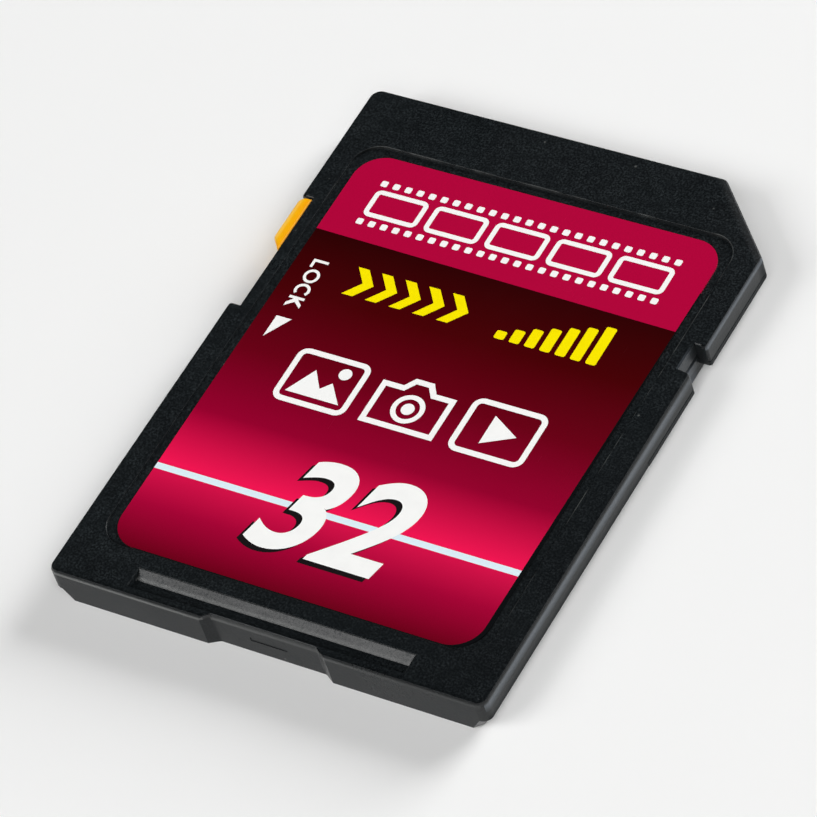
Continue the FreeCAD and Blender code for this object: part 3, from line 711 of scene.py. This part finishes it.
# legend of the lock: it reads down the label's left side, with the tops of the letters to the right
def printLockLegend(white):
    look = lockLook
    tall, line = look["capHeight"], look["line"]

    def turned(outline, along):
        return [(look["foot"] + up, look["start"] - along - right) for right, up in outline]

    def bow(width, start, end):
        middle, steps = width / 2, 40
        outer = arc(middle, tall / 2, middle, tall / 2, start, end, steps)
        inner = arc(middle, tall / 2, middle - line, tall / 2 - line, start, end, steps)
        return outer, inner

    white.plate(turned([(0, 0), (0.52, 0), (0.52, line), (line, line), (line, tall), (0, tall)], 0.0))
    outer, inner = bow(0.86, 0, 351)
    white.ring((turned(outer, 0.62), turned(inner, 0.62)))
    outer, inner = bow(0.82, 48, 312)
    white.plate(turned(outer + inner[::-1], 1.57))
    white.plate(turned(box(0, 0, line, tall), 2.42))
    middle = tall / 2
    white.plate(turned([(line, middle - 0.12), (0.46, 0), (0.68, 0), (0.33, middle + 0.02), (0.64, tall),
                        (0.43, tall), (line, middle + 0.1)], 2.42))
    arrowFoot = look["foot"] + 0.02
    white.plate([(arrowFoot, look["arrowStart"]), (arrowFoot, look["arrowEnd"]),
                 (arrowFoot + tall, look["arrowStart"])])


numberLook = {"text": "32", "height": 5.5, "middle": (0.0, -8.6), "shear": 0.24, "weight": 0.15,
              "shadow": (-0.2, -0.26)}


# a plain number in slanted figures, as a solid of the given height on the label
def numberMesh(shift, top):
    look = numberLook
    figures = bpy.data.curves.new("figures", "FONT")
    figures.body = look["text"]
    figures.size = look["height"] * mm / 0.72
    figures.shear = look["shear"]
    figures.offset = look["weight"] * mm
    figures.align_x = "CENTER"
    figures.extrude = (top + labelLook["inkSink"]) * mm / 2
    figures.resolution_u = 10
    holder = bpy.data.objects.new("figures", figures)
    bpy.context.scene.collection.objects.link(holder)
    bpy.context.view_layer.update()
    data = bpy.data.meshes.new_from_object(holder.evaluated_get(bpy.context.evaluated_depsgraph_get()))
    bpy.data.objects.remove(holder)
    bpy.data.curves.remove(figures)
    heights = [corner.co.y for corner in data.vertices]
    across = [corner.co.x for corner in data.vertices]
    x, y = look["middle"]
    move = Vector(((x + shift[0]) * mm - (min(across) + max(across)) / 2,
                   (y + shift[1]) * mm - (min(heights) + max(heights)) / 2,
                   labelHigh.z + (top - labelLook["inkSink"]) * mm / 2))
    data.transform(Matrix.Translation(move))
    return data


def addNumber(printed, shift, top):
    data = numberMesh(shift, top)
    printed.mesh.from_mesh(data)
    bmesh.ops.remove_doubles(printed.mesh, verts=printed.mesh.verts, dist=0.0005 * mm)
    bpy.data.meshes.remove(data)


whitePrint = Print("label_print_white", whiteInk, labelLook["inkHeight"])
printFilmStrip(whitePrint)
printPictograms(whitePrint)
printLockLegend(whitePrint)
addNumber(whitePrint, (0, 0), labelLook["inkHeight"])
whitePrint.finish()
yellowPrint = Print("label_print_yellow", yellowInk, labelLook["inkHeight"])
printChevrons(yellowPrint)
printRisingBars(yellowPrint)
yellowPrint.finish()
shadowPrint = Print("label_print_shadow", shadowInk, labelLook["shadowHeight"])
addNumber(shadowPrint, numberLook["shadow"], labelLook["shadowHeight"])
shadowPrint.finish()
print("label printed")


# inside: board, contacts, chips

insideLook = {
    "mask": paint(18, 84, 48),
    "maskDeep": paint(10, 58, 36),
    "gold": paint(232, 186, 96),
    "goldWorn": paint(214, 160, 74),
    "resin": paint(30, 30, 32),
    "resinSpeck": paint(48, 48, 50),
    "tin": paint(196, 198, 200),
    "capacitor": paint(158, 122, 88),
    "resistor": paint(24, 24, 27),
    "glaze": paint(60, 50, 44),  # uneven tint of both
    "endLength": 0.25,
}


def makeBoardLaminate():
    material, tree, shader = newMaterial("boardLaminate", **{"Coat Weight": 0.2, "Coat Roughness": 0.2})
    grain = useGroup(tree, mouldGrain, grainSize=0.25, patchSize=1.6)
    feed(tree, shader.inputs["Base Color"],
         mixColour(tree, grain["patch"], insideLook["mask"], insideLook["maskDeep"]))
    feed(tree, shader.inputs["Roughness"], mapRange(tree, grain["speckle"], 0.0, 1.0, 0.38, 0.5))
    addBump(tree, shader, grain["height"], 0.004)
    return material


def makeGoldPlating():
    material, tree, shader = newMaterial("goldPlating", Metallic=1.0)
    grain = useGroup(tree, mouldGrain, grainSize=0.08, patchSize=1.1)
    marks = useGroup(tree, handlingMarks, smearSize=2.0, scratchWidth=0.04)
    feed(tree, shader.inputs["Base Color"],
         mixColour(tree, grain["patch"], insideLook["gold"], insideLook["goldWorn"]))
    feed(tree, shader.inputs["Roughness"], mapRange(tree, marks["smear"], 0.0, 1.0, 0.2, 0.34))
    addBump(tree, shader, grain["height"], 0.002)
    return material


def makeChipResin():
    material, tree, shader = newMaterial("chipResin")
    grain = useGroup(tree, mouldGrain, grainSize=0.1, patchSize=2.5)
    feed(tree, shader.inputs["Base Color"],
         mixColour(tree, grain["speckle"], insideLook["resin"], insideLook["resinSpeck"]))
    feed(tree, shader.inputs["Roughness"], mapRange(tree, grain["patch"], 0.0, 1.0, 0.5, 0.62))
    addBump(tree, shader, grain["height"], 0.006)
    return material


# ceramic block with tinned ends: the ends are known from their place along the card
def makeCeramic(name, sample, colour):
    material, tree, shader = newMaterial(name)
    low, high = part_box(sample)
    grain = useGroup(tree, mouldGrain, grainSize=0.07, patchSize=0.5)
    along = parted(tree, objectPlace(tree))["Y"]
    fromMiddle = maths(tree, "ABSOLUTE", maths(tree, "SUBTRACT", along, (low.y + high.y) / 2))
    tinned = maths(tree, "GREATER_THAN", fromMiddle, (high.y - low.y) / 2 - insideLook["endLength"] * mm)
    block = mixColour(tree, maths(tree, "MULTIPLY", grain["patch"], 0.3), colour, insideLook["glaze"])
    feed(tree, shader.inputs["Base Color"], mixColour(tree, tinned, block, insideLook["tin"]))
    feed(tree, shader.inputs["Metallic"], tinned)
    feed(tree, shader.inputs["Roughness"], mapRange(tree, grain["speckle"], 0.0, 1.0, 0.34, 0.46))
    addBump(tree, shader, grain["height"], 0.004)
    return material


dressNodes(makeBoardLaminate(), "circuit_board")
dressNodes(makeGoldPlating(), *[name for name in nodes if name.startswith("contact_pad")])
dressNodes(makeChipResin(), "flash_memory_chip", "controller_chip")
dressNodes(makeCeramic("capacitorCeramic", "capacitor_1", insideLook["capacitor"]),
           *[name for name in nodes if name.startswith("capacitor")])
dressNodes(makeCeramic("resistorCeramic", "resistor_1", insideLook["resistor"]),
           *[name for name in nodes if name.startswith("resistor")])
print("inside finished")


# studio

studioLook = {
    "floorSize": 0.7,
    "floorColour": (0.92, 0.92, 0.915, 1.0),
    "floorShade": (0.8, 0.8, 0.8, 1.0),
    "sky": 0.02,
    "horizon": 0.25,
    "below": 0.35,
    "lamps": [  # name, direction from the card, distance, width, height, radiance
        ("backBox", (0.36, 0.86, 0.37), 0.55, 0.30, 0.30, 12.2),
        ("frontLeftBox", (-0.47, -0.60, 0.65), 0.55, 0.32, 0.28, 5.2),
        ("frontRightBox", (0.40, -0.52, 0.76), 0.60, 0.44, 0.40, 2.7),
        ("underBox", (-0.27, 0.36, -0.89), 0.50, 0.24, 0.24, 11.0),  # lights the back, through the floor
    ],
}


def makeFloor():
    half = studioLook["floorSize"]
    mesh = bpy.data.meshes.new("floor")
    corners = [(-half, -half, 0), (half, -half, 0), (half, half, 0), (-half, half, 0)]
    mesh.from_pydata(corners, [], [(0, 1, 2, 3)])
    floor = bpy.data.objects.new("floor", mesh)
    floor.location.z = -0.01 * mm
    bpy.context.scene.collection.objects.link(floor)
    material, tree, shader = newMaterial("paleFloor", Roughness=0.9, **{"Specular IOR Level": 0.1})
    paper = mapRange(tree, noise(tree, objectPlace(tree), 260.0, detail=3.0), 0.3, 0.7, 0.0, 0.03)
    feed(tree, shader.inputs["Base Color"],
         mixColour(tree, paper, studioLook["floorColour"], studioLook["floorShade"]))
    # seen or lit from below, the floor lets the card show
    clear = addNode(tree, "ShaderNodeBsdfTransparent")
    path = addNode(tree, "ShaderNodeLightPath")
    side = addNode(tree, "ShaderNodeNewGeometry")
    mixed = addNode(tree, "ShaderNodeMixShader")
    passing = maths(tree, "MAXIMUM", path.outputs["Is Shadow Ray"], side.outputs["Backfacing"])
    feed(tree, mixed.inputs["Fac"], passing)
    tree.links.new(shader.outputs["BSDF"], mixed.inputs[1])
    tree.links.new(clear.outputs["BSDF"], mixed.inputs[2])
    tree.links.new(mixed.outputs["Shader"], tree.nodes["Material Output"].inputs["Surface"])
    mesh.materials.append(material)


def makeLamps():
    for name, direction, distance, width, height, radiance in studioLook["lamps"]:
        lamp = bpy.data.lights.new(name, "AREA")
        lamp.shape = "RECTANGLE"
        lamp.size, lamp.size_y = width, height
        lamp.energy = radiance * math.pi * width * height
        holder = bpy.data.objects.new(name, lamp)
        back = Vector(direction).normalized()
        holder.location = back * distance
        holder.rotation_euler = back.to_track_quat("Z", "Y").to_euler()
        holder.visible_camera = False
        bpy.context.scene.collection.objects.link(holder)


# a quiet sky, pale at the horizon so that low views have a plain background
def makeWorld():
    world = bpy.data.worlds.new("studio")
    world.use_nodes = True
    tree = world.node_tree
    up = parted(tree, addNode(tree, "ShaderNodeTexCoord").outputs["Generated"])["Z"]
    ramp = addNode(tree, "ShaderNodeValToRGB")
    feed(tree, ramp.inputs["Fac"], mapRange(tree, up, -1.0, 1.0))
    stops = ramp.color_ramp.elements
    levels = [(0.0, "below"), (0.47, "below"), (0.5, "horizon"), (0.56, "horizon"), (0.64, "sky"),
              (1.0, "sky")]
    stops[0].position, stops[1].position = levels[0][0], levels[-1][0]
    for position, level in levels[1:-1]:
        stops.new(position)
    for stop, (position, level) in zip(stops, levels):
        stop.color = (studioLook[level],) * 3 + (1.0,)
    feed(tree, tree.nodes["Background"].inputs["Color"], ramp.outputs["Color"])
    bpy.context.scene.world = world


makeFloor()
makeLamps()
makeWorld()
bpy.context.scene.view_settings.view_transform = "Standard"
print("studio set")


# camera, fitted to the card's edges

cameraLook = {"azimuth": 44.3211, "elevation": 47.7191, "roll": -19.7062, "distance": 262.217,
              "aim": (-0.6206, -1.0955, 1.05), "lens": 243.75, "sensor": 36.0}


def makeCamera():
    look = cameraLook
    azimuth, elevation, roll = (math.radians(look[key]) for key in ("azimuth", "elevation", "roll"))
    back = Vector((math.sin(azimuth) * math.cos(elevation), -math.cos(azimuth) * math.cos(elevation),
                   math.sin(elevation)))
    level = Vector((0, 0, 1)).cross(back).normalized()
    upright = back.cross(level)
    right = level * math.cos(roll) + upright * math.sin(roll)
    above = upright * math.cos(roll) - level * math.sin(roll)
    data = bpy.data.cameras.new("camera")
    data.sensor_width, data.lens = look["sensor"], look["lens"]
    data.clip_start, data.clip_end = 0.01, 10.0
    camera = bpy.data.objects.new("camera", data)
    bpy.context.scene.collection.objects.link(camera)
    turn = Matrix((right, above, back)).transposed().to_4x4()
    camera.matrix_world = Matrix.Translation(Vector(look["aim"]) * mm + back * look["distance"] * mm) @ turn
    bpy.context.scene.camera = camera


makeCamera()
print("camera set")
